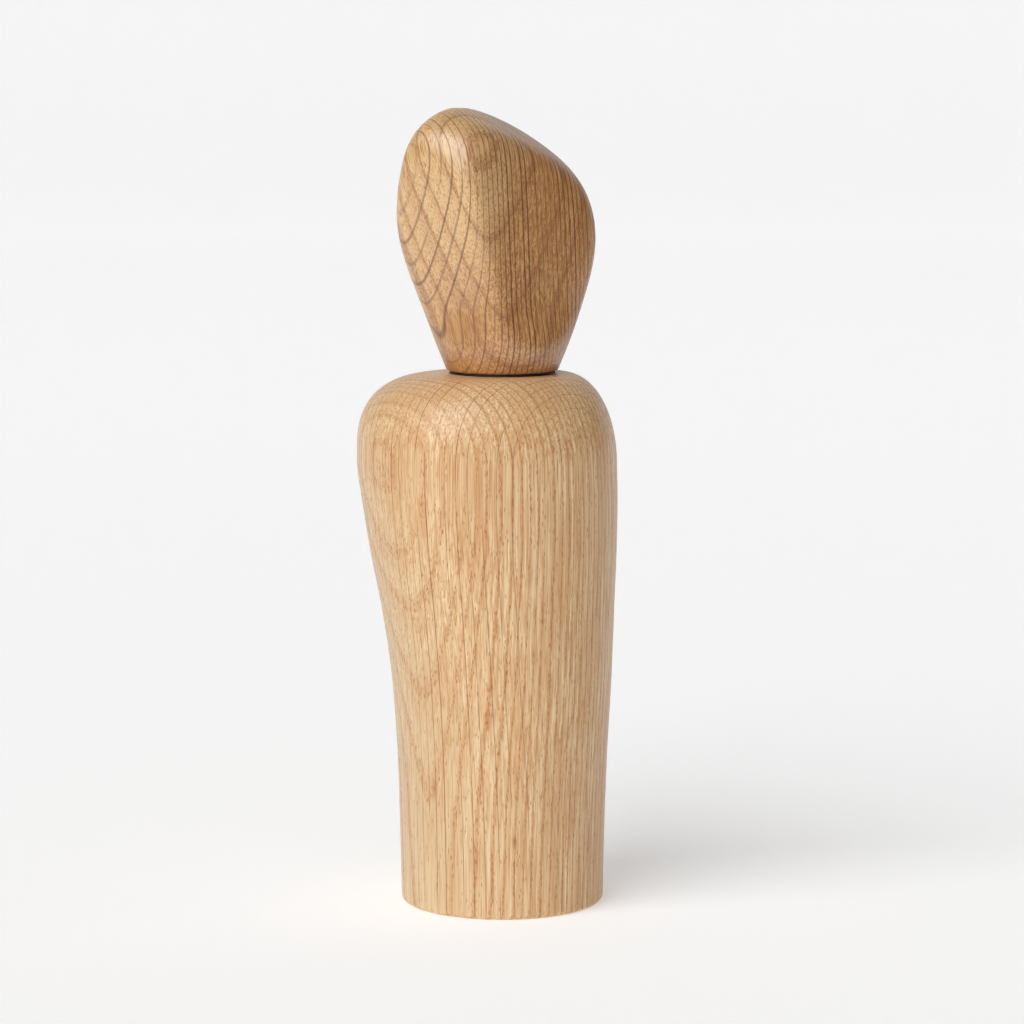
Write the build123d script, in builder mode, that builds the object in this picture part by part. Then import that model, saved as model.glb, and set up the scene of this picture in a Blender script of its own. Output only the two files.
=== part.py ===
from build123d import *
import math
import os

# A kokeshi-shaped pepper mill: an oak body with rounded, uneven shoulders, a pebble-shaped oak head that
# is turned to grind, and a ceramic grinder pushed into the base. Millimetres. The origin is the centre of
# the base, +Z runs up the mill axis and -Y is the front.

# --- body -------------------------------------------------------------------------------------------
body_h = 141.1
crown_r = 16.5
base_round = 1.3
# height, reach to the left, reach to the right, reach to the front and back
waist = [
    (0.0, 27.0, 26.9, 26.8),
    (20.0, 27.4, 27.3, 27.2),
    (40.0, 28.0, 28.0, 27.9),
    (61.0, 29.5, 29.1, 29.0),
    (78.0, 31.9, 29.7, 29.8),
    (94.0, 35.0, 30.3, 30.7),
    (108.0, 37.2, 30.5, 31.2),
]
# where each shoulder starts to turn in, its reach there, and how square its curve is
left_shoulder = (121.0, 38.4, 2.5)
right_shoulder = (117.0, 30.3, 2.05)
deep_shoulder = (118.0, 31.2, 2.15)
shoulder_heights = [117.0, 123.0, 128.0, 132.0, 135.5, 138.2, 140.0, 140.8, body_h]

# --- hollow of the body -----------------------------------------------------------------------------
recess_r = 23.0
recess_h = 9.0
grinder_bore_r = 19.2
grinder_bore_top = 44.0
reservoir_r = 16.0
reservoir_top = 127.0
neck_bore_r = 12.55
neck_bore_bottom = 130.5

# --- neck collar ------------------------------------------------------------------------------------
collar_r = 12.5
collar_inner_r = 10.5
collar_bottom = 131.0
flange_r = 13.9
flange_t = 0.5

# --- grinder cartridge ------------------------------------------------------------------------------
housing_r = 19.1
housing_inner_r = 17.05
housing_flange_r = 22.7
housing_flange_bottom = 6.0
housing_top = 43.0
bridge_z = 9.0
bridge_t = 3.4
hub_r = 9.6
hub_top = 19.0
pocket_r = 6.9
pocket_z = 10.8
arm_w = 3.2
screw_circle_r = 21.0
screw_r = 1.0
stator_z = 19.95
stator_top = 33.5
rotor_z = 20.65
rotor_fine_top = 24.65
rotor_top = 33.0
rotor_low_r = 12.4
rotor_mid_r = 10.8
rotor_top_r = 8.6
grind_gap = 0.75
spider_z = 40.05
spider_top = 42.9

# --- drive shaft, spring and adjuster ---------------------------------------------------------------
shaft_side = 6.0
shaft_bottom = 20.7
shaft_top = 156.0
shaft_corner_r = shaft_side / math.sqrt(2)
circlip_z = 38.95
circlip_t = 0.8
knob_r = 12.3
knob_bottom = 1.2
knob_top = 8.0
neck_r = 4.5
thread_r = 3.5
thread_top = 17.8
lifter_z = 13.2
lifter_top = 18.2
washer_top = 19.05
running_gap = 0.05

# --- head -------------------------------------------------------------------------------------------
head_z = 141.75
head_top = 210.35
head_foot_r = 14.6
head_flare = 0.416
foot_round = 0.8
foot_blend = 19.0
heart = (-1.5, 0.0, 178.0)
peak = (-12.4, 1.0)
softness = 8.0
# each soft flat of the pebble: azimuth from the front (right is positive), upward tilt, distance from heart
flats = [
    (-36.0, -8.0, 17.4),
    (38.5, 6.5, 12.3),
    (75.5, 57.5, 24.1),
    (-109.0, 17.0, 29.3),
    (90.0, 21.5, 27.0),
    (-139.0, 19.0, 22.3),
    (160.5, -3.0, 22.9),
    (180.0, 5.5, 22.1),
    (-31.5, 56.5, 33.7),
    (-4.5, 23.0, 24.8),
]

# --- head plug --------------------------------------------------------------------------------------
spigot_r = 10.42
plug_bottom = 131.4
plug_flange_r = 12.8
plug_flange_z = 141.85
plug_flange_t = 1.45
plug_r = 9.5
plug_top = 159.0
socket_side = shaft_side + 2 * running_gap
ring_z = 136.2
ring_wire_r = 0.5
ring_mid_r = 9.95
clip_z = 152.0
clip_wire_r = 0.45
clip_leg_y = 3.55
plug_screw_circle_r = 11.75

os.makedirs("parts", exist_ok=True)


def shoulder_reach(z, start, side, squareness):
    """Reach of the body at height z, rolling over from its side to the flat crown."""
    if z <= start:
        return side
    rise = (z - start) / (body_h - start)
    return crown_r + (side - crown_r) * (1 - rise**squareness) ** (1 / squareness)


def flat_direction(azimuth, tilt):
    """Outward direction of a flat, from its azimuth around the front and its upward tilt in degrees."""
    around = math.radians(azimuth)
    up = math.radians(tilt)
    return math.sin(around) * math.cos(up), -math.cos(around) * math.cos(up), math.sin(up)


flat_normals = [(flat_direction(azimuth, tilt), reach) for azimuth, tilt, reach in flats]


def fullness(x, y, z):
    """1 on the head's surface, less inside it: a cone from the neck that turns into the soft flats."""
    cone_reach = head_foot_r + head_flare * (z - head_z)
    cone = math.hypot(x, y) / cone_reach
    wide = head_foot_r + head_flare * (heart[2] - head_z)
    total = max(0.0, (math.hypot(x, y) - head_flare * (z - heart[2])) / wide) ** softness
    for normal, reach in flat_normals:
        along = normal[0] * (x - heart[0]) + normal[1] * (y - heart[1]) + normal[2] * (z - heart[2])
        total += max(0.0, along / reach) ** softness
    pebble = total ** (1 / softness)
    rise = min(1.0, (z - head_z) / foot_blend)
    blend = rise * rise * (3 - 2 * rise)
    return (1 - blend) * cone + blend * pebble


def head_outline(z, count=40):
    """Points around the head at height z, found by stepping out from its leaning centre line."""
    lean = ((z - head_z) / (head_top - head_z)) ** 5
    centre_x = peak[0] * lean
    centre_y = peak[1] * lean
    points = []
    for step in range(count):
        angle = 2 * math.pi * step / count
        inner = 0.0
        outer = 60.0
        for halving in range(40):
            reach = (inner + outer) / 2
            if fullness(centre_x + reach * math.cos(angle), centre_y + reach * math.sin(angle), z) < 1:
                inner = reach
            else:
                outer = reach
        points.append((centre_x + inner * math.cos(angle), centre_y + inner * math.sin(angle)))
    return points


# --- oak body: turned hollow, with shoulders that bulge to the left ----------------------------------
with BuildPart() as body:
    for z, left, right, deep in waist:
        with BuildSketch(Plane.XY.offset(z)):
            with Locations(((right - left) / 2, 0)):
                Ellipse((left + right) / 2, deep)
    for z in shoulder_heights:
        left = shoulder_reach(z, *left_shoulder)
        right = shoulder_reach(z, *right_shoulder)
        deep = shoulder_reach(z, *deep_shoulder)
        with BuildSketch(Plane.XY.offset(z)):
            with Locations(((right - left) / 2, 0)):
                Ellipse((left + right) / 2, deep)
    loft()
    base_edge = body.edges().group_by(Axis.Z)[0]
    fillet(base_edge, base_round)
    with BuildSketch(Plane.XZ):
        with BuildLine():
            Polyline(
                (0, -1),
                (recess_r, -1),
                (recess_r, recess_h),
                (grinder_bore_r, recess_h),
                (grinder_bore_r, grinder_bore_top),
                (reservoir_r, grinder_bore_top),
                (reservoir_r, reservoir_top),
                (neck_bore_r, neck_bore_bottom),
                (neck_bore_r, body_h + 1),
                (0, body_h + 1),
                close=True,
            )
        make_face()
    revolve(axis=Axis.Z, mode=Mode.SUBTRACT)
    with BuildSketch(Plane.XY.offset(recess_h)):
        with PolarLocations(screw_circle_r, 3, start_angle=45):
            Circle(screw_r + 0.02)
    extrude(amount=8, mode=Mode.SUBTRACT)

# --- black collar: lines the neck and shows as the thin dark line under the head ----------------------
with BuildPart() as neck_collar:
    with BuildSketch(Plane.XZ):
        with BuildLine():
            Polyline(
                (collar_inner_r, collar_bottom),
                (collar_r, collar_bottom),
                (collar_r, body_h),
                (flange_r, body_h),
                (flange_r, body_h + flange_t),
                (collar_inner_r, body_h + flange_t),
                close=True,
            )
        make_face()
    revolve(axis=Axis.Z)
    mouth = neck_collar.edges().filter_by(GeomType.CIRCLE).group_by(Axis.Z)[-1].sort_by(SortBy.RADIUS)[0]
    chamfer(mouth, 0.3)

# --- grinder housing: a flanged tube that carries the stator, the bridge and the spider --------------
with BuildPart() as grinder_housing:
    with BuildSketch(Plane.XZ):
        with BuildLine():
            Polyline(
                (17.2, housing_flange_bottom),
                (housing_flange_r, housing_flange_bottom),
                (housing_flange_r, recess_h),
                (housing_r, recess_h),
                (housing_r, housing_top),
                (17.6, housing_top),
                (17.6, spider_z - 0.05),
                (housing_inner_r, spider_z - 0.05),
                (housing_inner_r, stator_z - 0.05),
                (15.6, stator_z - 0.05),
                (15.6, 18.0),
                (16.2, 18.0),
                (16.2, 12.5),
                (17.2, 12.5),
                close=True,
            )
        make_face()
    revolve(axis=Axis.Z)
    with Locations(Plane.XY.offset(housing_flange_bottom) * Rotation(180, 0, 0)):
        with PolarLocations(screw_circle_r, 3, start_angle=-45):
            CounterSinkHole(screw_r + 0.1, 1.65, depth=3.2, counter_sink_angle=90)

with BuildPart() as housing_screws:
    with BuildSketch(Plane.XY.offset(housing_flange_bottom + 0.1)):
        with PolarLocations(screw_circle_r, 3, start_angle=45):
            Circle(screw_r)
    extrude(amount=10)
    with Locations((0, 0, housing_flange_bottom + 0.1)):
        with PolarLocations(screw_circle_r, 3, start_angle=45):
            Cone(1.5, screw_r, 0.5, align=(Align.CENTER, Align.CENTER, Align.MIN))

# --- stator: the fixed ceramic ring, narrowest where the fine teeth grind ----------------------------
fine_slope = (rotor_low_r - rotor_mid_r) / (rotor_fine_top - rotor_z)
stator_low_r = rotor_low_r + fine_slope * (rotor_z - stator_z) + grind_gap
stator_mid_r = rotor_mid_r + grind_gap

with BuildPart() as stator_ring:
    with BuildSketch(Plane.XZ):
        with BuildLine():
            Polyline(
                (stator_low_r, stator_z),
                (17.0, stator_z),
                (17.0, stator_top),
                (14.6, stator_top),
                (stator_mid_r, rotor_fine_top),
                close=True,
            )
        make_face()
    revolve(axis=Axis.Z)
    with BuildSketch(Plane.XY.offset(stator_z)):
        with PolarLocations(14.0, 16):
            Rectangle(2.0, 1.0)
    extrude(amount=stator_top - stator_z, mode=Mode.SUBTRACT)

# --- lower bridge: three arms that hold the hub in which the lifter slides ---------------------------
with BuildPart() as lower_bridge:
    with BuildSketch(Plane.XY.offset(bridge_z)):
        Circle(17.15)
        Circle(15.2, mode=Mode.SUBTRACT)
        with PolarLocations(12.0, 3, start_angle=105):
            Rectangle(7.6, arm_w)
        Circle(hub_r)
    extrude(amount=bridge_t)
    with BuildSketch(Plane.XY.offset(bridge_z)):
        Circle(hub_r)
    extrude(amount=hub_top - bridge_z)
    with BuildSketch(Plane.XY.offset(bridge_z)):
        Circle(neck_r + running_gap)
    extrude(amount=pocket_z - bridge_z, mode=Mode.SUBTRACT)
    with BuildSketch(Plane.XY.offset(pocket_z)):
        Circle(pocket_r)
    extrude(amount=hub_top - pocket_z, mode=Mode.SUBTRACT)
    with BuildSketch(Plane.XY.offset(lifter_z - 0.3)):
        Rectangle(16.8, 2.5)
    extrude(amount=hub_top - lifter_z + 0.3, mode=Mode.SUBTRACT)

# --- shaft spider: steadies the shaft and lets the peppercorns fall between its arms ------------------
with BuildPart() as shaft_spider:
    with BuildSketch(Plane.XY.offset(spider_z)):
        Circle(17.5)
        Circle(15.6, mode=Mode.SUBTRACT)
        with PolarLocations(10.6, 3, start_angle=105):
            Rectangle(10.6, 3.0)
        Circle(6.2)
        Circle(shaft_corner_r + 0.07, mode=Mode.SUBTRACT)
    extrude(amount=spider_top - spider_z)

# --- click washer: its three bumps rub on the knob, so that a setting stays where it is put -----------
with BuildPart() as click_washer:
    with BuildSketch(Plane.XY.offset(8.45)):
        Circle(9.0)
        Circle(5.2, mode=Mode.SUBTRACT)
    extrude(amount=0.5)
    with BuildSketch(Plane.XY.offset(8.1)):
        with PolarLocations(7.1, 3):
            Circle(0.7)
    extrude(amount=0.4)

# --- drive shaft: a square bar from the rotor up into the head ---------------------------------------
with BuildPart() as drive_shaft:
    with BuildSketch(Plane.XY.offset(shaft_bottom)):
        Rectangle(shaft_side, shaft_side)
    extrude(amount=shaft_top - shaft_bottom)
    chamfer(drive_shaft.faces().sort_by(Axis.Z)[-1].edges(), 1.0)
    with BuildSketch(Plane.XY.offset(circlip_z - 0.05)):
        Circle(6.0)
        Circle(3.45, mode=Mode.SUBTRACT)
    extrude(amount=circlip_t + 0.1, mode=Mode.SUBTRACT)

with BuildPart() as shaft_circlip:
    with BuildSketch(Plane.XY.offset(circlip_z)):
        Circle(6.4)
        Circle(3.5, mode=Mode.SUBTRACT)
        with Locations((0, -5.0)):
            Rectangle(3.6, 6.0, mode=Mode.SUBTRACT)
    extrude(amount=circlip_t)

# --- grinder spring: presses the rotor down on the lifter ---------------------------------------------
spring_bottom = rotor_top + 0.05
spring_wire_r = 0.45
spring_mid_r = 5.2
spring_rise = circlip_z - 0.05 - spring_bottom - 2 * spring_wire_r

with BuildPart() as grinder_spring:
    with BuildLine():
        coil = Helix(
            pitch=spring_rise / 3.5,
            height=spring_rise,
            radius=spring_mid_r,
            center=(0, 0, spring_bottom + spring_wire_r),
        )
    with BuildSketch(Plane(origin=coil @ 0, z_dir=coil % 0)):
        Circle(spring_wire_r)
    sweep(is_frenet=True)

# --- rotor hub: slides on the square shaft and turns with it ------------------------------------------
with BuildPart() as rotor_hub:
    with BuildSketch(Plane.XZ):
        with BuildLine():
            Polyline(
                (0, washer_top + 0.1),
                (8.2, washer_top + 0.1),
                (8.2, rotor_z - 0.05),
                (5.6, rotor_z - 0.05),
                (5.6, rotor_top),
                (0, rotor_top),
                close=True,
            )
        make_face()
    revolve(axis=Axis.Z)
    with BuildSketch(Plane.XY.offset(washer_top)):
        Rectangle(socket_side, socket_side)
    extrude(amount=rotor_top - washer_top + 1, mode=Mode.SUBTRACT)

# --- rotor: the turning ceramic cone, coarse slots above and fine teeth below -------------------------
with BuildPart() as rotor:
    with BuildSketch(Plane.XZ):
        with BuildLine():
            Polyline(
                (5.65, rotor_z),
                (rotor_low_r, rotor_z),
                (rotor_mid_r, rotor_fine_top),
                (rotor_top_r, rotor_top),
                (5.65, rotor_top),
                close=True,
            )
        make_face()
    revolve(axis=Axis.Z)
    with BuildSketch(Plane.XY.offset(rotor_fine_top + 1)):
        with PolarLocations(10.4, 8):
            Rectangle(5.8, 2.2)
    extrude(amount=rotor_top, mode=Mode.SUBTRACT)
    with BuildSketch(Plane.XY.offset(rotor_z)):
        with PolarLocations(12.1, 32):
            Rectangle(1.6, 0.7)
    extrude(amount=rotor_fine_top - rotor_z, mode=Mode.SUBTRACT)

# --- lifter: keyed in the bridge, so turning the knob's thread raises it ------------------------------
with BuildPart() as lifter:
    with BuildSketch(Plane.XY.offset(lifter_z)):
        Circle(6.6)
        Rectangle(16.4, 2.2)
        Circle(thread_r + running_gap, mode=Mode.SUBTRACT)
    extrude(amount=lifter_top - lifter_z)

with BuildPart() as thrust_washer:
    with BuildSketch(Plane.XY.offset(lifter_top + 0.02)):
        Circle(6.4)
        Circle(3.0, mode=Mode.SUBTRACT)
    extrude(amount=washer_top - lifter_top - 0.02)

# --- adjuster knob under the base ----------------------------------------------------------------------
with BuildPart() as adjuster_knob:
    with BuildSketch(Plane.XZ):
        with BuildLine():
            Polyline(
                (0, knob_bottom),
                (knob_r, knob_bottom),
                (knob_r, knob_top),
                (neck_r, knob_top),
                (neck_r, 10.9),
                (3.9, 10.9),
                (3.9, 11.9),
                (neck_r, 11.9),
                (neck_r, 12.9),
                (thread_r, 12.9),
                (thread_r, thread_top),
                (0, thread_top),
                close=True,
            )
        make_face()
    revolve(axis=Axis.Z)
    with BuildSketch(Plane.XY.offset(knob_bottom)):
        with PolarLocations(knob_r + 0.5, 18):
            Circle(1.2)
    extrude(amount=knob_top - knob_bottom, mode=Mode.SUBTRACT)
    rim = adjuster_knob.faces().sort_by(Axis.Z)[0].edges()
    chamfer(rim, 0.4)
    with BuildSketch(Plane.XY.offset(knob_bottom)):
        Circle(8.0)
        Rectangle(16.0, 3.6, mode=Mode.SUBTRACT)
    extrude(amount=3.0, mode=Mode.SUBTRACT)

with BuildPart() as knob_retainer:
    with BuildSketch(Plane.XY.offset(10.95)):
        Circle(6.3)
        Circle(3.95, mode=Mode.SUBTRACT)
        with Locations((0, -5.0)):
            Rectangle(4.0, 6.0, mode=Mode.SUBTRACT)
    extrude(amount=0.9)

# --- oak head: a pebble with soft flats, leaning up to the left over a round foot ---------------------
with BuildPart() as head:
    for step in range(20):
        share = math.sin(math.pi / 2 * step / 19)
        height = head_z + (head_top - 0.01 - head_z) * share
        with BuildSketch(Plane.XY.offset(height)):
            with BuildLine():
                Spline(*head_outline(height), periodic=True)
            make_face()
    loft()
    with BuildSketch(Plane.XZ):
        with BuildLine():
            round_top = head_z + foot_round
            round_r = head_foot_r + head_flare * foot_round
            ThreePointArc(
                (head_foot_r - foot_round, head_z),
                (head_foot_r - 0.25 * foot_round, head_z + 0.33 * foot_round),
                (round_r, round_top),
            )
            Polyline(
                (round_r, round_top),
                (round_r + 2, round_top),
                (round_r + 2, head_z - 1),
                (head_foot_r - foot_round, head_z - 1),
                (head_foot_r - foot_round, head_z),
            )
        make_face()
    revolve(axis=Axis.Z, mode=Mode.SUBTRACT)
    with BuildSketch(Plane.XZ):
        with BuildLine():
            Polyline(
                (0, head_z - 1),
                (plug_flange_r + 0.05, head_z - 1),
                (plug_flange_r + 0.05, plug_flange_z + plug_flange_t + 0.05),
                (plug_r + 0.05, plug_flange_z + plug_flange_t + 0.05),
                (plug_r + 0.05, plug_top + 0.2),
                (0, plug_top + 0.2),
                close=True,
            )
        make_face()
    revolve(axis=Axis.Z, mode=Mode.SUBTRACT)
    with BuildSketch(Plane.XY.offset(plug_flange_z + 1)):
        with PolarLocations(plug_screw_circle_r, 2):
            Circle(0.62)
    extrude(amount=8, mode=Mode.SUBTRACT)

# --- head plug: carries the square socket and runs in the collar ---------------------------------------
with BuildPart() as head_plug:
    with BuildSketch(Plane.XZ):
        with BuildLine():
            Polyline(
                (0, plug_bottom),
                (5.4, plug_bottom),
                (5.4, plug_flange_z - 1),
                (8.6, plug_flange_z - 1),
                (8.6, plug_bottom),
                (spigot_r, plug_bottom),
                (spigot_r, ring_z - 0.6),
                (9.42, ring_z - 0.6),
                (9.42, ring_z + 0.6),
                (spigot_r, ring_z + 0.6),
                (spigot_r, plug_flange_z),
                (plug_flange_r, plug_flange_z),
                (plug_flange_r, plug_flange_z + plug_flange_t),
                (plug_r, plug_flange_z + plug_flange_t),
                (plug_r, plug_top),
                (0, plug_top),
                close=True,
            )
        make_face()
    revolve(axis=Axis.Z)
    with BuildSketch(Plane.XY.offset(plug_bottom)):
        Rectangle(socket_side, socket_side)
    extrude(amount=shaft_top + 1 - plug_bottom, mode=Mode.SUBTRACT)
    with BuildSketch(Plane.XY.offset(clip_z - 0.6)):
        with Locations((1.4, 0)):
            Rectangle(17.0, 8.6)
    extrude(amount=1.2, mode=Mode.SUBTRACT)
    with Locations(Plane.XY.offset(plug_flange_z) * Rotation(180, 0, 0)):
        with PolarLocations(plug_screw_circle_r, 2):
            CounterSinkHole(0.65, 1.0, depth=plug_flange_t + 0.1, counter_sink_angle=90)

with BuildPart() as plug_screws:
    with BuildSketch(Plane.XY.offset(plug_flange_z + 0.05)):
        with PolarLocations(plug_screw_circle_r, 2):
            Circle(0.6)
    extrude(amount=8.5)
    with Locations((0, 0, plug_flange_z + 0.05)):
        with PolarLocations(plug_screw_circle_r, 2):
            Cone(0.9, 0.6, 0.3, align=(Align.CENTER, Align.CENTER, Align.MIN))

# --- plug clip: a bent wire whose two legs hug the shaft -------------------------------------------------
with BuildPart() as plug_clip:
    with BuildLine():
        leg = Line((-6.2, clip_leg_y, clip_z), (5.0, clip_leg_y, clip_z))
        ThreePointArc(leg @ 1, (5.0 + clip_leg_y, 0, clip_z), (5.0, -clip_leg_y, clip_z))
        Line((5.0, -clip_leg_y, clip_z), (-6.2, -clip_leg_y, clip_z))
    with BuildSketch(Plane(origin=leg @ 0, z_dir=leg % 0)):
        Circle(clip_wire_r)
    sweep()

# --- head ring: the rubber ring that keeps the head from dropping out of the collar ---------------------
with BuildPart() as head_ring:
    with BuildSketch(Plane.XZ):
        with Locations((ring_mid_r, ring_z)):
            Circle(ring_wire_r)
    revolve(axis=Axis.Z)

pieces = {
    "body": body,
    "neck_collar": neck_collar,
    "grinder_housing": grinder_housing,
    "housing_screws": housing_screws,
    "stator_ring": stator_ring,
    "lower_bridge": lower_bridge,
    "shaft_spider": shaft_spider,
    "click_washer": click_washer,
    "drive_shaft": drive_shaft,
    "shaft_circlip": shaft_circlip,
    "grinder_spring": grinder_spring,
    "rotor_hub": rotor_hub,
    "rotor": rotor,
    "lifter": lifter,
    "thrust_washer": thrust_washer,
    "adjuster_knob": adjuster_knob,
    "knob_retainer": knob_retainer,
    "head": head,
    "head_plug": head_plug,
    "plug_screws": plug_screws,
    "plug_clip": plug_clip,
    "head_ring": head_ring,
}
for name, piece in pieces.items():
    piece.part.label = name
    export_step(piece.part, f"parts/{name}.step")
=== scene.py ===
"""Looks of the kokeshi-shaped oak pepper mill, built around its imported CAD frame."""
import math

import bpy
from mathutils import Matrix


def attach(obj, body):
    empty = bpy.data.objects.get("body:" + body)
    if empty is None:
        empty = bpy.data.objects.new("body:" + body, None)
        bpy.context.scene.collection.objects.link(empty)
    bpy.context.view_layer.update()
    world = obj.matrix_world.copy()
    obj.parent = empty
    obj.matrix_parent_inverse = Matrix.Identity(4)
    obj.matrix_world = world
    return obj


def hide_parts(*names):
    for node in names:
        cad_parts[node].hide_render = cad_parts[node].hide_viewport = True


MM = 0.001
ROUND = 240          # points around each turned or lofted ring

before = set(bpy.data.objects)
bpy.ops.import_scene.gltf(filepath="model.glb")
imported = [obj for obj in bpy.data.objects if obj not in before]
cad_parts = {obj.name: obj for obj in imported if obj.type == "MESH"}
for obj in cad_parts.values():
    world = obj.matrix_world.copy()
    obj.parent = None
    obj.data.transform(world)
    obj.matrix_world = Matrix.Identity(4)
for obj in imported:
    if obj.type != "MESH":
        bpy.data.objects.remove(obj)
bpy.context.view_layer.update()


# --- shapes of the two oak pieces, in millimetres ------------------------------------------------------
BODY_H = 141.1
CROWN_R = 16.5
BASE_ROUND = 1.3
# height, reach to the left, reach to the right, reach to the front and back
WAIST = [
    (0.0, 27.0, 26.9, 26.8),
    (20.0, 27.4, 27.3, 27.2),
    (40.0, 28.0, 28.0, 27.9),
    (61.0, 29.5, 29.1, 29.0),
    (78.0, 31.9, 29.7, 29.8),
    (94.0, 35.0, 30.3, 30.7),
    (108.0, 37.2, 30.5, 31.2),
    (117.0, 38.4, 30.3, 31.2),
    (126.0, 38.4, 30.3, 31.2),
]
LEFT_SHOULDER = (121.0, 38.4, 2.5)
RIGHT_SHOULDER = (117.0, 30.3, 2.05)
DEEP_SHOULDER = (118.0, 31.2, 2.15)
SHOULDER_Z = 117.0
# the hollow inside the body, from the neck down
RIM_R = 15.4
NECK_BORE_R = 12.55
NECK_BORE_LOW = 130.5
HOLLOW_R = 16.0
HOLLOW_TOP = 127.0
HOLLOW_LOW = 44.0
GRINDER_BORE_R = 19.2
RECESS_R = 23.0
RECESS_TOP = 9.0
FOOT_FLAT_R = 25.2
EDGE = 0.3                  # how near an edge its extra rings lie, so that smooth shading stays tight

HEAD_Z = 141.75
HEAD_TOP = 210.35
FOOT_R = 14.6
FOOT_FLARE = 0.416
FOOT_ROUND = 0.8
FOOT_BLEND = 19.0
PLUG_BORE_R = 9.55
PLUG_BORE_TOP = 159.2
FLANGE_BORE_R = 12.85
FLANGE_BORE_TOP = 143.35
HEAD_EDGE = 0.25
TIP_GAP = 0.012             # from the head's top ring up to its tip
SEARCH_R = 45.0             # wider than the head anywhere
HALVINGS = 22
HEART = (-1.5, 0.0, 178.0)
PEAK = (-12.4, 1.0)
SOFTNESS = 8.0
# each soft flat of the pebble: azimuth from the front, upward tilt, distance from the heart
FLATS = [
    (-36.0, -8.0, 17.4),
    (38.5, 6.5, 12.3),
    (75.5, 57.5, 24.1),
    (-109.0, 17.0, 29.3),
    (90.0, 21.5, 27.0),
    (-139.0, 19.0, 22.3),
    (160.5, -3.0, 22.9),
    (180.0, 5.5, 22.1),
    (-31.5, 56.5, 33.7),
    (-4.5, 23.0, 24.8),
]


def smooth_through(table, column, z):
    """Value of a column at height z, on a smooth curve through the table's rows."""
    rows = len(table)
    i = 0
    while i < rows - 2 and z > table[i + 1][0]:
        i += 1

    def slope(k):
        low = max(k - 1, 0)
        high = min(k + 1, rows - 1)
        return (table[high][column] - table[low][column]) / (table[high][0] - table[low][0])

    span = table[i + 1][0] - table[i][0]
    t = min(1.0, max(0.0, (z - table[i][0]) / span))
    start = table[i][column]
    end = table[i + 1][column]
    return (
        start * (2 * t**3 - 3 * t**2 + 1)
        + end * (3 * t**2 - 2 * t**3)
        + slope(i) * span * (t**3 - 2 * t**2 + t)
        + slope(i + 1) * span * (t**3 - t**2)
    )


def shoulder_reach(z, start, side, squareness):
    """Reach of one side above start, on a rounded-square curve from side in to the crown."""
    if z <= start:
        return side
    rise = min(1.0, (z - start) / (BODY_H - start))
    return CROWN_R + (side - CROWN_R) * (1 - rise**squareness) ** (1 / squareness)


def body_ring(z, inset=0.0):
    """Centre and half sizes of the body's outline at height z."""
    if z <= SHOULDER_Z:
        left, right, deep = (smooth_through(WAIST, column, z) for column in (1, 2, 3))
    else:
        left = shoulder_reach(z, *LEFT_SHOULDER)
        right = shoulder_reach(z, *RIGHT_SHOULDER)
        deep = shoulder_reach(z, *DEEP_SHOULDER)
    return (right - left) / 2, (left + right) / 2 - inset, deep - inset


def flat_direction(azimuth, tilt):
    """Unit vector of a soft flat, from degrees off the front and up."""
    around = math.radians(azimuth)
    up = math.radians(tilt)
    return math.sin(around) * math.cos(up), -math.cos(around) * math.cos(up), math.sin(up)


FLAT_NORMALS = [(flat_direction(azimuth, tilt), reach) for azimuth, tilt, reach in FLATS]
WIDE_R = FOOT_R + FOOT_FLARE * (HEART[2] - HEAD_Z)


def fullness(x, y, z):
    """1 on the head's surface, less inside it."""
    radius = math.hypot(x, y)
    cone = radius / (FOOT_R + FOOT_FLARE * (z - HEAD_Z))
    total = max(0.0, (radius - FOOT_FLARE * (z - HEART[2])) / WIDE_R) ** SOFTNESS
    for normal, reach in FLAT_NORMALS:
        along = normal[0] * (x - HEART[0]) + normal[1] * (y - HEART[1]) + normal[2] * (z - HEART[2])
        total += max(0.0, along / reach) ** SOFTNESS
    rise = min(1.0, (z - HEAD_Z) / FOOT_BLEND)
    blend = rise * rise * (3 - 2 * rise)
    return (1 - blend) * cone + blend * total ** (1 / SOFTNESS)


def head_ring(z):
    """Points around the head at height z, in millimetres."""
    lean = ((z - HEAD_Z) / (HEAD_TOP - HEAD_Z)) ** 5
    centre_x = PEAK[0] * lean
    centre_y = PEAK[1] * lean
    points = []
    for step in range(ROUND):
        angle = 2 * math.pi * step / ROUND
        c = math.cos(angle)
        s = math.sin(angle)
        inner = 0.0
        outer = SEARCH_R
        for halving in range(HALVINGS):
            reach = (inner + outer) / 2
            if fullness(centre_x + reach * c, centre_y + reach * s, z) < 1:
                inner = reach
            else:
                outer = reach
        points.append((centre_x + inner * c, centre_y + inner * s, z))
    return points


def ellipse_ring(centre_x, half_x, half_y, z):
    turn = [2 * math.pi * step / ROUND for step in range(ROUND)]
    return [(centre_x + half_x * math.cos(a), half_y * math.sin(a), z) for a in turn]


def circle_ring(radius, z):
    return ellipse_ring(0.0, radius, radius, z)


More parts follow.
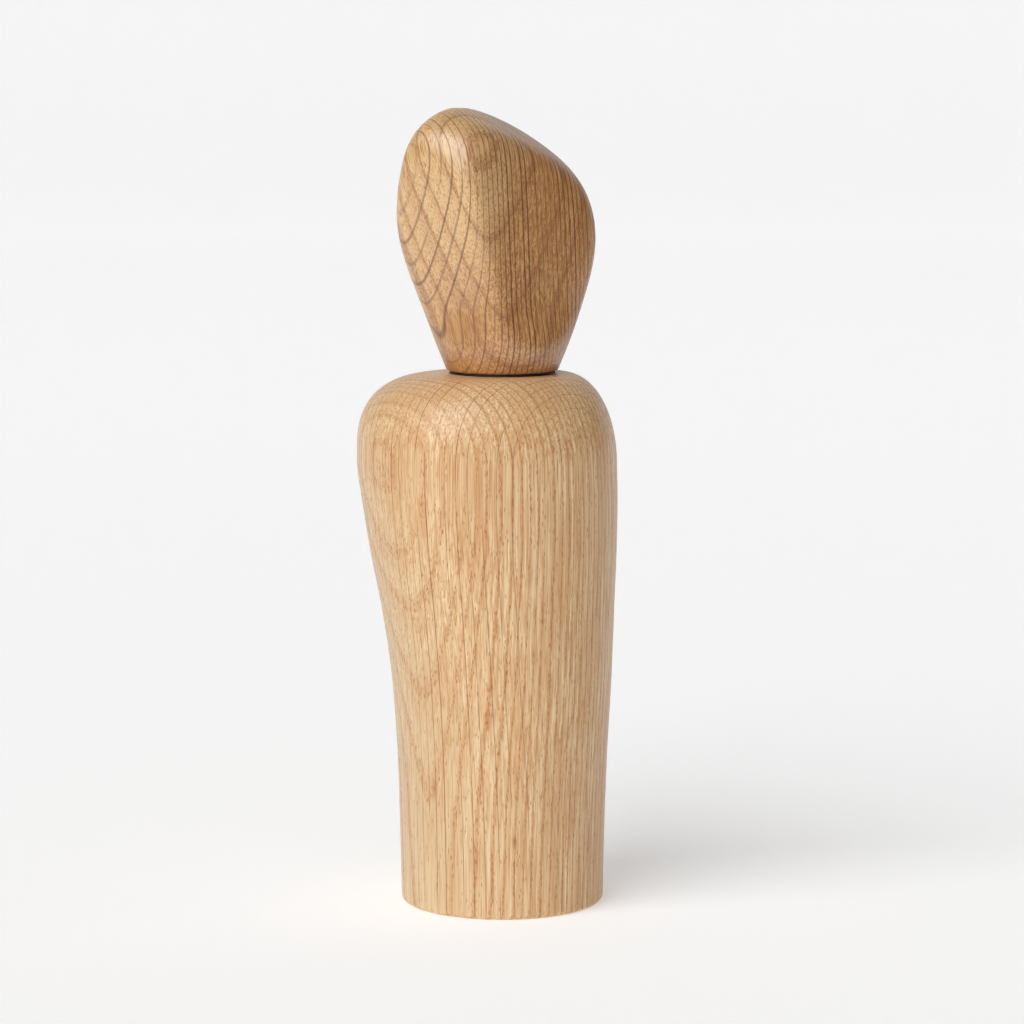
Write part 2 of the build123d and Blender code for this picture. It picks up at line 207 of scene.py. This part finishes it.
def skin(name, rings, closed_loop=True, tip=None):
    """A mesh through a list of rings, from points in millimetres.

    closed_loop joins the last ring to the first. With a tip, both ends are closed by fans instead.
    """
    vertices = [(x * MM, y * MM, z * MM) for ring in rings for x, y, z in ring]
    faces = []
    count = len(rings)
    for i in range(count if closed_loop else count - 1):
        j = (i + 1) % count
        for k in range(ROUND):
            n = (k + 1) % ROUND
            faces.append((i * ROUND + k, i * ROUND + n, j * ROUND + n, j * ROUND + k))
    if tip is not None:
        vertices.append(tuple(v * MM for v in tip))
        last = len(vertices) - 1
        top = (count - 1) * ROUND
        for k in range(ROUND):
            faces.append((top + k, top + (k + 1) % ROUND, last))
        vertices.append((0.0, 0.0, rings[0][0][2] * MM))
        first = len(vertices) - 1
        for k in range(ROUND):
            faces.append(((k + 1) % ROUND, k, first))
    mesh = bpy.data.meshes.new(name)
    mesh.from_pydata(vertices, [], faces)
    mesh.update()
    mesh.shade_smooth()
    piece = bpy.data.objects.new(name, mesh)
    bpy.context.scene.collection.objects.link(piece)
    return piece


def spaced(start, end, count):
    return [start + (end - start) * i / (count - 1) for i in range(count)]


def oak_body():
    """The whole body: outside, crown, neck bore, pepper hollow, grinder bore and recess, as one closed skin."""
    rings = []
    for step in range(9):
        angle = math.pi / 2 * step / 8
        inset = BASE_ROUND * (1 - math.sin(angle))
        height = BASE_ROUND * (1 - math.cos(angle))
        rings.append(ellipse_ring(*body_ring(height, inset), height))
    for height in spaced(2.0, SHOULDER_Z, 70):
        rings.append(ellipse_ring(*body_ring(height), height))
    for step in range(1, 61):
        height = SHOULDER_Z + (BODY_H - SHOULDER_Z) * math.sin(math.pi / 2 * step / 60)
        rings.append(ellipse_ring(*body_ring(height), height))
    inside = [
        # rim of the neck
        (RIM_R, BODY_H), (14.2, BODY_H), (13.0, BODY_H),
        (NECK_BORE_R + 0.2, BODY_H - 0.05), (NECK_BORE_R + 0.05, BODY_H - 0.2), (NECK_BORE_R, BODY_H - 0.5),
        (NECK_BORE_R, 136.0), (NECK_BORE_R, NECK_BORE_LOW),
        # pepper hollow
        (HOLLOW_R, HOLLOW_TOP), (HOLLOW_R, HOLLOW_TOP - EDGE), (HOLLOW_R, 90.0),
        (HOLLOW_R, HOLLOW_LOW + EDGE), (HOLLOW_R, HOLLOW_LOW), (HOLLOW_R + EDGE, HOLLOW_LOW),
        # bore for the grinder
        (GRINDER_BORE_R - EDGE, HOLLOW_LOW), (GRINDER_BORE_R, HOLLOW_LOW), (GRINDER_BORE_R, HOLLOW_LOW - EDGE),
        (GRINDER_BORE_R, 26.0), (GRINDER_BORE_R, RECESS_TOP + EDGE), (GRINDER_BORE_R, RECESS_TOP),
        # recess under the base, with a softened rim
        (GRINDER_BORE_R + EDGE, RECESS_TOP), (RECESS_R - EDGE, RECESS_TOP), (RECESS_R, RECESS_TOP),
        (RECESS_R, RECESS_TOP - EDGE), (RECESS_R, 4.0), (RECESS_R, 0.5),
        (RECESS_R + 0.1, 0.15), (RECESS_R + 0.4, 0.0), (24.4, 0.0), (FOOT_FLAT_R, 0.0),
    ]
    for radius, height in inside:
        rings.append(circle_ring(radius, height))
    return skin("oak_body", rings)


def oak_head():
    """The head, with the round bore for its plug."""
    rings = []
    for step in range(7):
        angle = math.pi / 2 * step / 6
        drop = FOOT_ROUND * (1 - math.sin(angle))
        height = HEAD_Z + FOOT_ROUND * (1 - math.cos(angle))
        radius = FOOT_R + FOOT_FLARE * (height - HEAD_Z) - drop
        rings.append(circle_ring(radius, height))
    low = HEAD_Z + FOOT_ROUND
    for step in range(1, 131):
        share = math.sin(math.pi / 2 * step / 130)
        height = low + (HEAD_TOP - TIP_GAP - low) * share
        rings.append(head_ring(height))
    tip = (PEAK[0], PEAK[1], HEAD_TOP)
    bore = [
        (PLUG_BORE_R, PLUG_BORE_TOP), (PLUG_BORE_R, PLUG_BORE_TOP - EDGE),
        (PLUG_BORE_R, FLANGE_BORE_TOP + HEAD_EDGE), (PLUG_BORE_R, FLANGE_BORE_TOP),
        (PLUG_BORE_R + HEAD_EDGE, FLANGE_BORE_TOP), (FLANGE_BORE_R - HEAD_EDGE, FLANGE_BORE_TOP),
        (FLANGE_BORE_R, FLANGE_BORE_TOP), (FLANGE_BORE_R, FLANGE_BORE_TOP - HEAD_EDGE),
        (FLANGE_BORE_R, HEAD_Z + 0.15), (FLANGE_BORE_R + 0.1, HEAD_Z), (13.4, HEAD_Z),
    ]
    rings = [circle_ring(radius, height) for radius, height in bore] + rings
    return skin("oak_head", rings, closed_loop=False, tip=tip)


# --- material building ---------------------------------------------------------------------------------
class Graph:
    """Short calls for adding linked nodes to one material."""

    def __init__(self, name):
        self.material = bpy.data.materials.new(name)
        self.material.use_nodes = True
        self.nodes = self.material.node_tree.nodes
        self.links = self.material.node_tree.links
        self.shader = self.nodes["Principled BSDF"]

    def add(self, kind, settings=None, **inputs):
        node = self.nodes.new(kind)
        for key, value in (settings or {}).items():
            setattr(node, key, value)
        for key, value in inputs.items():
            self.feed(node, key.replace("_", " "), value)
        return node

    def feed(self, node, key, value):
        socket = node.inputs[int(key)] if key.isdigit() else node.inputs[key]
        if isinstance(value, bpy.types.NodeSocket):
            self.links.new(value, socket)
        else:
            socket.default_value = value

    def math(self, operation, a, b=0.0, c=0.0):
        node = self.nodes.new("ShaderNodeMath")
        node.operation = operation
        for i, value in enumerate((a, b, c)):
            self.feed(node, str(i), value)
        return node.outputs[0]

    def vector(self, x, y, z):
        node = self.nodes.new("ShaderNodeCombineXYZ")
        for i, value in enumerate((x, y, z)):
            self.feed(node, str(i), value)
        return node.outputs[0]

    def noise(self, place, scale=1.0, detail=2.0, roughness=0.5):
        node = self.add("ShaderNodeTexNoise", Vector=place, Scale=scale, Detail=detail, Roughness=roughness)
        return node.outputs["Fac"]

    def ramp(self, value, low, high):
        """0 below low, 1 above high, smooth between."""
        node = self.add("ShaderNodeMapRange", {"interpolation_type": "SMOOTHSTEP"}, Value=value)
        node.inputs["From Min"].default_value = low
        node.inputs["From Max"].default_value = high
        return node.outputs[0]

    def product(self, a, b):
        return self.math("MULTIPLY", a, b)

    def times_plus(self, a, b, c):
        """a times b, plus c."""
        return self.math("MULTIPLY_ADD", a, b, c)

    def rest(self, value):
        """1 less the value."""
        return self.math("SUBTRACT", 1.0, value)

    def centred(self, value):
        """A value from 0 to 1, moved to lie about 0."""
        return self.math("SUBTRACT", value, 0.5)

    def mix(self, share, a, b):
        """Colour a, with this share of colour b. The numbers are the mix node's colour sockets."""
        node = self.nodes.new("ShaderNodeMix")
        node.data_type = "RGBA"
        for key, value in ((0, share), (6, a), (7, b)):
            self.feed(node, str(key), value)
        return node.outputs[2]

    def bump(self, height, strength, distance):
        node = self.add("ShaderNodeBump", Height=height, Strength=strength, Distance=distance)
        self.links.new(node.outputs[0], self.shader.inputs["Normal"])

    def surface(self, **inputs):
        for key, value in inputs.items():
            self.feed(self.shader, key.replace("_", " "), value)


def srgb(r, g, b):
    """Linear colour with alpha from 0 to 255 display values."""
    def linear(v):
        v = v / 255
        return v / 12.92 if v <= 0.04045 else ((v + 0.055) / 1.055) ** 2.4
    return linear(r), linear(g), linear(b), 1.0


# how often each texture repeats in a millimetre: across the rings, along them, up the stem
WANDER_SCALE = (0.040, 0.040, 0.010)
SWAY_SCALE = (0.060, 0.060, 0.008)
FIBRE_SCALE = (1.7, 1.7, 0.014)
HAIR_SCALE = (4.0, 4.0, 0.045)
CLOUD_SCALE = (0.12, 0.10, 0.022)
PORE_SCALE = (4.6, 4.0)                     # up the stem it is each look's pore_rise
RING_UNEVEN = (0.16, 1.4)                   # how often the ring width changes, and by how many rings
RAY_UNEVEN_SCALE = 0.23
RAY_PATCH_SCALE = (4.31, 1.4)               # shifts each sheet's breaks; their reach across the rings
OUTER_EARLY_LOSS = 0.48
RAY_LOSS = 0.7


class Stem:
    """Where a point of one oak piece lies in the tree it was cut from, in millimetres."""

    def __init__(self, g, look):
        split = g.add("ShaderNodeSeparateXYZ", Vector=g.add("ShaderNodeTexCoord").outputs["Object"])
        self.g = g
        self.x, self.y, self.z = (g.product(split.outputs[i], 1 / MM) for i in range(3))
        here = (self.x, self.y, self.z)

        # the stem's slow wander, so that no line runs dead straight
        wander = g.centred(g.noise(self.at(here, WANDER_SCALE), 1.0, 1.0))
        sway = g.centred(g.noise(self.at(here, SWAY_SCALE, 40.0), 1.0, 1.0))

        # across: through the rings, which bow and may lean with the grain
        self.forward, sideways = self.turned(look["ring_azimuth"])
        bowed = g.times_plus(g.product(sideways, sideways), look["bow"] / 2, self.forward)
        across = g.times_plus(self.z, look["lean"], bowed)
        self.across = g.times_plus(wander, look["wander"], across)

        # along: through the ray sheets, which stand square to the rings or nearly so
        self.flat = self.turned(look["ray_azimuth"])[0]
        along = g.times_plus(self.z, look["ray_tilt"], self.flat)
        along = g.times_plus(sway, look["sway"], along)
        self.along = g.math("ADD", along, look["ray_offset"])

    def at(self, values, scales, offset=0.0):
        g = self.g
        return g.vector(*(g.times_plus(value, scale, offset) for value, scale in zip(values, scales)))

    def in_grain(self, scales, offset=0.0):
        """A place for a texture that is stretched along the grain."""
        return self.at((self.across, self.along, self.z), scales, offset)

    def turned(self, azimuth):
        """Distance from the mill's axis in a level direction, and to the side of that direction."""
        g = self.g
        out_x = math.sin(math.radians(azimuth))
        out_y = -math.cos(math.radians(azimuth))
        outward = g.times_plus(self.x, out_x, g.product(self.y, out_y))
        sideways = g.times_plus(self.x, -out_y, g.product(self.y, out_x))
        return outward, sideways


def growth_rings(g, stem, look, fibre):
    """Early wood and late wood, from 0 to 1, in rings of uneven width with ragged edges."""
    often, rings = RING_UNEVEN
    uneven = g.noise(g.vector(g.product(stem.across, often), 3.7, 0.0), 1.0, 1.0)
    ring = g.times_plus(uneven, rings, g.math("DIVIDE", stem.across, look["ring_width"]))
    ring = g.math("ADD", ring, look["ring_offset"])
    ring = g.times_plus(g.centred(fibre), look["ragged"], ring)
    phase = g.math("FRACT", ring)
    fading = g.rest(g.ramp(phase, look["early_end"] * 0.4, look["early_end"]))
    early = g.product(g.ramp(phase, 0.0, 0.08), fading)
    outer = g.times_plus(g.ramp(stem.forward, *look["outer_wood"]), -OUTER_EARLY_LOSS, 1.0)
    return g.product(early, outer), g.ramp(phase, 0.5, 1.0)


def vessels(g, stem, look, early):
    """Pores that run up the stem, crowded in the early wood."""
    cells = g.add(
        "ShaderNodeTexVoronoi",
        Vector=stem.in_grain((*PORE_SCALE, look["pore_rise"])), Scale=1.0, Randomness=1.0,
    )
    vessel = g.rest(g.ramp(cells.outputs["Distance"], 0.20, 0.46))
    keep = g.add("ShaderNodeSeparateColor", Color=cells.outputs["Color"])
    crowd = g.times_plus(early, 0.85, look["stray_pores"])
    chosen = g.ramp(g.math("SUBTRACT", crowd, keep.outputs[0]), -0.05, 0.05)
    return g.product(vessel, chosen)


def ray_sheets(g, stem, look):
    """Thin radial sheets, each of its own darkness, broken up along the stem."""
    gaps = g.noise(g.vector(g.product(stem.along, RAY_UNEVEN_SCALE), 9.1, 0.0), 1.0, 1.0)
    sheet = g.times_plus(gaps, look["ray_uneven"], g.math("DIVIDE", stem.along, look["ray_spacing"]))
    number = g.math("FLOOR", sheet)
    own = g.add("ShaderNodeTexWhiteNoise", {"noise_dimensions": "1D"}, W=number).outputs["Value"]

    # a larger distance from the sheet's middle makes a thinner line
    off_middle = g.math("ABSOLUTE", g.centred(g.math("FRACT", sheet)))
    thinning = g.times_plus(g.ramp(stem.flat, *look["ray_thinning"]), 0.42, 0.58)
    thickness = look["ray_thickness"] / look["ray_spacing"] / 2
    line = g.rest(g.ramp(g.product(off_middle, thinning), thickness * 0.3, thickness * 1.6))

    shift, reach = RAY_PATCH_SCALE
    run = look["ray_run"]
    patches = g.noise(stem.at((number, stem.across, stem.z), (shift, run * reach, run)), 1.0, 2.0)
    whole = g.ramp(patches, look["ray_gap"] - 0.07, look["ray_gap"] + 0.09)
    strength = g.product(g.times_plus(own, 0.6, 0.4), whole)
    fade = g.times_plus(g.ramp(stem.flat, *look["ray_fade"]), -RAY_LOSS, 1.0)
    return g.product(line, g.product(strength, fade))


def sapwood(g, stem, look):
    """How much paler wood shows: more towards its azimuth, and more or less with height. It is part sapwood near
    the bark, part painted light on the side the key light falls on.
    """
    start, end, share = look["sapwood"]
    above_heart = g.math("SUBTRACT", stem.z, HEART[2])
    outward = g.times_plus(above_heart, look["sap_and_lit_side_tilt"], stem.turned(look["sap_and_lit_side_azimuth"])[0])
    return g.product(g.ramp(outward, start, end), share)


def oak(name, look):
    """Solid oak: rings around a distant pith, pores in their early wood, ray sheets that cross them."""
    g = Graph(name)
    stem = Stem(g, look)

    # fibres: long streaks up the stem, from half a millimetre down to hairs
    fibre = g.noise(stem.in_grain(FIBRE_SCALE), 1.0, 4.0, 0.66)
    hair = g.noise(stem.in_grain(HAIR_SCALE, 17.0), 1.0, 2.0)
    cloud = g.noise(stem.in_grain(CLOUD_SCALE), 1.0, 2.0)
    early, late = growth_rings(g, stem, look, fibre)
    pores = vessels(g, stem, look, early)
    rays = ray_sheets(g, stem, look)

    colour = g.mix(g.ramp(fibre, 0.36, 0.66), look["pale"], look["tan"])
    layers = [
        (g.product(g.ramp(cloud, 0.40, 0.70), 0.5), "tan"),
        # paler wood on the key-lit side: part sapwood tone, part painted light and sheen
        (sapwood(g, stem, look), "sap_and_lit_tone"),
        (g.product(late, look["late_share"]), "late"),
        (g.product(early, look["early_share"]), "early"),
        (g.product(g.ramp(hair, 0.48, 0.70), look["hair_share"]), "pore"),
        (g.product(pores, look["pore_share"]), "pore"),
        (g.product(rays, look["ray_share"]), "ray"),
    ]
    for share, tone in layers:
        colour = g.mix(share, colour, look[tone])
    if "knot" in look:
        colour = knot(g, stem, colour, look)

    rough = g.times_plus(pores, 0.20, look["roughness"])
    rough = g.times_plus(g.centred(fibre), 0.15, rough)
    g.surface(Base_Color=colour, Roughness=rough)
    g.shader.inputs["Specular IOR Level"].default_value = look["specular"]
    relief = g.product(pores, -1.0)
    relief = g.times_plus(fibre, 0.5, relief)
    relief = g.times_plus(rays, -0.3, relief)
    g.bump(relief, 0.4, 0.00012)
    return g.material


def knot(g, stem, colour, look):
    """A pin knot: a small dark spot with a soft halo, drawn out up the stem."""
    kx, ky, kz, size = look["knot"]
    dx = g.math("SUBTRACT", stem.x, kx)
    dy = g.math("SUBTRACT", stem.y, ky)
    dz = g.product(g.math("SUBTRACT", stem.z, kz), 0.45)
    square = g.math("ADD", g.product(dx, dx), g.product(dy, dy))
    far = g.math("SQRT", g.times_plus(dz, dz, square))
    halo = g.rest(g.ramp(far, size * 0.2, size * 2.6))
    core = g.rest(g.ramp(far, size * 0.1, size))
    colour = g.mix(g.product(halo, 0.45), colour, look["late"])
    return g.mix(g.product(core, 0.6), colour, look["ray"])


# Angles are degrees from the front, left negative. Lengths and widths are millimetres, and a pair is where
# a change starts and ends. Shares are how much of a colour is laid over those before it.
BODY_OAK = {
    "ring_azimuth": -45.0,
    "bow": 0.0083,
    "lean": 0.0,
    "wander": 1.2,
    "ray_azimuth": 43.0,
    "ray_tilt": 0.0,
    "ray_offset": 1.1,
    "sway": 0.9,
    "ring_width": 1.85,
    "ring_offset": 0.45,
    "ragged": 0.22,
    "early_end": 0.36,
    "pore_rise": 0.50,
    "stray_pores": 0.10,
    "ray_spacing": 2.5,
    "ray_uneven": 0.8,
    "ray_thickness": 0.14,
    "ray_run": 0.03,
    "ray_gap": 0.38,
    "pale": srgb(248, 220, 174),
    "tan": srgb(220, 171, 118),
    # pale wood laid towards the key-lit left and lower down: part sapwood tone, part painted light
    "sap_and_lit_tone": srgb(224, 198, 156),
    "sap_and_lit_side_azimuth": -90.0,
    "sap_and_lit_side_tilt": -0.3,
    "sapwood": (34.0, 72.0, 0.85),
    "ray_thinning": (0.0, 25.0),
    "ray_fade": (20.0, 29.0),
    "outer_wood": (22.0, 29.0),
    "early": srgb(202, 140, 80),
    "late": srgb(214, 166, 112),
    "pore": srgb(176, 98, 40),
    "ray": srgb(150, 88, 42),
    "early_share": 0.62,
    "late_share": 0.30,
    "hair_share": 0.48,
    "pore_share": 0.90,
    "ray_share": 0.85,
    "roughness": 0.35,
    "specular": 0.55,
    "knot": (3.2, -27.2, 21.2, 0.9),
}
HEAD_OAK = {
    "ring_azimuth": 16.0,
    "bow": -0.0187,
    "lean": 0.42,
    "wander": 1.0,
    "ray_azimuth": -57.4,
    "ray_tilt": 0.026,
    "ray_offset": 0.0,
    "sway": 0.4,
    "ring_width": 6.6,
    "ring_offset": 0.0,
    "ragged": 0.35,
    "early_end": 0.30,
    "pore_rise": 0.45,
    "stray_pores": 0.06,
    "ray_spacing": 1.55,
    "ray_uneven": 0.0,
    "ray_thickness": 0.24,
    "ray_run": 0.02,
    "ray_gap": 0.32,
    "pale": srgb(228, 176, 116),
    "tan": srgb(180, 122, 68),
    # pale wood laid towards the key-lit left front and up along the ridge: part sapwood tone, part painted light
    # and painted highlight
    "sap_and_lit_tone": srgb(238, 198, 142),
    "sap_and_lit_side_azimuth": -57.4,
    "sap_and_lit_side_tilt": 0.36,
    "sapwood": (2.0, 19.0, 0.85),
    "ray_thinning": (3.0, 13.0),
    "ray_fade": (6.0, 40.0),
    "outer_wood": (60.0, 80.0),
    "early": srgb(176, 114, 62),
    "late": srgb(190, 136, 84),
    "pore": srgb(140, 78, 34),
    "ray": srgb(106, 52, 20),
    "early_share": 0.55,
    "late_share": 0.30,
    "hair_share": 0.75,
    "pore_share": 0.85,
    "ray_share": 0.95,
    "roughness": 0.33,
    "specular": 1.0,
}


def dimmed(colour, share):
    return (*(share * v for v in colour[:3]), 1.0)


def moulded(name, colour, roughness, grain=5200.0):
    """Spark-textured plastic with faint cloudiness."""
    g = Graph(name)
    place = g.add("ShaderNodeTexCoord").outputs["Object"]
    fine = g.noise(place, grain, 3.0)
    slow = g.noise(place, 160.0, 2.0)
    dark = dimmed(colour, 0.75)
    g.surface(Base_Color=g.mix(g.ramp(slow, 0.3, 0.7), colour, dark))
    g.surface(Roughness=g.times_plus(g.centred(fine), 0.22, roughness))
    g.bump(fine, 0.25, 0.00004)
    return g.material


def sintered(name, colour):
    """Unglazed ceramic: fine grains and a few darker specks."""
    g = Graph(name)
    place = g.add("ShaderNodeTexCoord").outputs["Object"]
    grains = g.noise(place, 3800.0, 4.0, 0.7)
    specks = g.add("ShaderNodeTexVoronoi", Vector=place, Scale=900.0).outputs["Distance"]
    speck = g.rest(g.ramp(specks, 0.05, 0.16))
    shade = dimmed(colour, 0.55)
    base = g.mix(g.product(grains, 0.25), colour, shade)
    g.surface(Base_Color=g.mix(g.product(speck, 0.35), base, shade))
    g.surface(Roughness=g.times_plus(grains, 0.2, 0.5))
    g.bump(grains, 0.3, 0.00005)
    return g.material


def drawn_metal(name, colour, roughness, stretch):
    """Metal with fine lines along the drawing direction; stretch squeezes the noise on each axis."""
    g = Graph(name)
    place = g.add("ShaderNodeTexCoord").outputs["Object"]
    lines_at = g.add("ShaderNodeVectorMath", {"operation": "MULTIPLY"}, **{"0": place, "1": stretch}).outputs[0]
    lines = g.noise(lines_at, 1.0, 4.0, 0.6)
    stains = g.noise(place, 220.0, 2.0)
    dull = dimmed(colour, 0.72)
    g.surface(Metallic=1.0, Base_Color=g.mix(g.ramp(stains, 0.35, 0.75), colour, dull))
    g.surface(Roughness=g.times_plus(g.centred(lines), 0.3, roughness))
    g.bump(lines, 0.2, 0.00002)
    return g.material


def dress(node, material):
    """Gives a carried-over CAD node its finish."""
    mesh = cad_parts[node].data
    mesh.materials.clear()
    mesh.materials.append(material)


def dress_mechanism():
    black = moulded("black_plastic_look", (0.012, 0.011, 0.010, 1.0), 0.55)
    housing = moulded("housing_plastic_look", (0.055, 0.055, 0.058, 1.0), 0.5)
    knob_look = moulded("knob_plastic_look", (0.028, 0.028, 0.030, 1.0), 0.48, 4200.0)
    acetal = moulded("slide_plastic_look", (0.74, 0.72, 0.66, 1.0), 0.35, 2600.0)
    rubber = moulded("ring_rubber_look", (0.02, 0.02, 0.02, 1.0), 0.75, 3000.0)
    ceramic = sintered("grinder_ceramic_look", (0.80, 0.78, 0.72, 1.0))
    aluminium = drawn_metal("shaft_aluminium_look", (0.78, 0.79, 0.80, 1.0), 0.36, (6000.0, 6000.0, 60.0))
    spring = drawn_metal("spring_steel_look", (0.58, 0.58, 0.57, 1.0), 0.3, (900.0, 900.0, 900.0))
    zinc = drawn_metal("zinc_screw_look", (0.66, 0.67, 0.69, 1.0), 0.34, (1500.0, 1500.0, 1500.0))
    looks = {
        "neck_collar": black,
        "head_plug": black,
        "grinder_housing": housing,
        "lower_bridge": housing,
        "shaft_spider": housing,
        "adjuster_knob": knob_look,
        "lifter": acetal,
        "thrust_washer": acetal,
        "rotor_hub": acetal,
        "stator_ring": ceramic,
        "rotor": ceramic,
        "drive_shaft": aluminium,
        "shaft_circlip": spring,
        "grinder_spring": spring,
        "click_washer": spring,
        "knob_retainer": spring,
        "plug_clip": spring,
        "housing_screws": zinc,
        "plug_screws": zinc,
        "head_ring": rubber,
    }
    for node, material in looks.items():
        dress(node, material)


def wooden_pieces():
    body = oak_body()
    body.data.materials.append(oak("oak_body_look", BODY_OAK))
    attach(body, "body")
    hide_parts("body")
    head = oak_head()
    head.data.materials.append(oak("oak_head_look", HEAD_OAK))
    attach(head, "head")
    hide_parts("head")


# --- studio ---------------------------------------------------------------------------------------------
CAMERA_BACK = 0.911
CAMERA_HEIGHT = 0.220
CAMERA_RIGHT = 0.00255
CAMERA_PITCH = 7.25         # degrees down
CAMERA_LENS = 121.96
CAMERA_SENSOR = 36.0

FLOOR_HALF = 8.0
FLOOR_FRONT = -4.0
BEND_START = 4.0
BEND_R = 2.5
BEND_STEPS = 16
WALL_TOP = 7.0
# the floor's own glow, which the lights' uneven fall on the sweep is taken from, so that it looks level
FLOOR_GLOW = 0.386
LIGHT_ON_FLOOR = 0.55       # light the flat floor gives back from the softboxes alone
BEND_GAIN = 0.63            # how much more light falls on the sweep as it turns upright
WALL_BOUNCE = 0.06          # light the wall throws on the far end of the floor
BOUNCE_START = 1.0
GLOW_FADE = (0.25, 1.1)     # heights between which the glow dies out, above the picture

SKY_GLOW = 0.13
SKY_RISE = (0.15, 0.45)     # how steeply up the sky starts to glow, and glows in full
# each softbox: azimuth from the front (left is negative), height, spread in degrees, and power
SOFTBOXES = {
    "key": (-40.0, 39.0, 52.0, 2.14),
    "fill": (4.0, 24.0, 60.0, 0.22),
}


def studio_floor():
    """A pale sweep: flat floor, a wide bend and a wall far behind the mill."""
    profile = [(FLOOR_FRONT, 0.0), (BEND_START, 0.0)]
    for step in range(1, BEND_STEPS + 1):
        angle = math.pi / 2 * step / BEND_STEPS
        profile.append((BEND_START + BEND_R * math.sin(angle), BEND_R * (1 - math.cos(angle))))
    profile.append((BEND_START + BEND_R, WALL_TOP))
    vertices = [(side * FLOOR_HALF, y, z) for y, z in profile for side in (-1, 1)]
    faces = [(2 * i, 2 * i + 1, 2 * i + 3, 2 * i + 2) for i in range(len(profile) - 1)]
    mesh = bpy.data.meshes.new("studio_floor")
    mesh.from_pydata(vertices, [], faces)
    mesh.shade_smooth()
    floor = bpy.data.objects.new("studio_floor", mesh)
    bpy.context.scene.collection.objects.link(floor)
    g = Graph("studio_floor_look")
    g.surface(Base_Color=(0.8, 0.8, 0.8, 1.0), Roughness=0.9)
    g.shader.inputs["Specular IOR Level"].default_value = 0.0
    g.shader.inputs["Emission Color"].default_value = (1.0, 1.0, 1.0, 1.0)
    split = g.add("ShaderNodeSeparateXYZ", Vector=g.add("ShaderNodeTexCoord").outputs["Object"])
    depth, height = split.outputs[1], split.outputs[2]
    # the softboxes fall more squarely on the bend than on the flat, so the bend glows less by as much
    level = g.math("MAXIMUM", g.times_plus(height, -1.0 / BEND_R, 1.0), 0.0)
    steep = g.math("SQRT", g.rest(g.product(level, level)))
    gain = g.times_plus(steep, BEND_GAIN, g.math("SUBTRACT", level, 1.0))
    glow = g.times_plus(gain, -LIGHT_ON_FLOOR, FLOOR_GLOW)
    glow = g.times_plus(g.ramp(depth, BOUNCE_START, BEND_START), -WALL_BOUNCE, glow)
    glow = g.product(glow, g.rest(g.ramp(height, *GLOW_FADE)))
    g.surface(Emission_Strength=glow)
    mesh.materials.append(g.material)


def studio_light():
    """A dim sky that glows only high up, and the softboxes."""
    world = bpy.data.worlds.new("studio_world")
    bpy.context.scene.world = world
    world.use_nodes = True
    nodes = world.node_tree.nodes
    links = world.node_tree.links
    place = nodes.new("ShaderNodeTexCoord")
    split = nodes.new("ShaderNodeSeparateXYZ")
    links.new(place.outputs["Generated"], split.inputs[0])
    ramp = nodes.new("ShaderNodeMapRange")
    settings = {"From Min": SKY_RISE[0], "From Max": SKY_RISE[1], "To Min": 0.0, "To Max": SKY_GLOW}
    for key, value in settings.items():
        ramp.inputs[key].default_value = value
    links.new(split.outputs[2], ramp.inputs["Value"])
    links.new(ramp.outputs[0], nodes["Background"].inputs["Strength"])
    nodes["Background"].inputs["Color"].default_value = (1.0, 1.0, 1.0, 1.0)

    for name, (azimuth, tilt, spread, power) in SOFTBOXES.items():
        light = bpy.data.lights.new(name, "SUN")
        light.angle = math.radians(spread)
        light.energy = power
        lamp = bpy.data.objects.new(name, light)
        lamp.rotation_euler = (math.pi / 2 - math.radians(tilt), 0.0, math.radians(azimuth))
        bpy.context.scene.collection.objects.link(lamp)


def studio_camera():
    camera = bpy.data.objects.new("camera", bpy.data.cameras.new("camera"))
    camera.data.lens = CAMERA_LENS
    camera.data.sensor_width = CAMERA_SENSOR
    camera.location = (CAMERA_RIGHT, -CAMERA_BACK, CAMERA_HEIGHT)
    camera.rotation_euler = (math.radians(90 - CAMERA_PITCH), 0.0, 0.0)
    bpy.context.scene.collection.objects.link(camera)
    bpy.context.scene.camera = camera
    bpy.context.scene.view_settings.view_transform = "Standard"


wooden_pieces()
dress_mechanism()
studio_floor()
studio_light()
studio_camera()
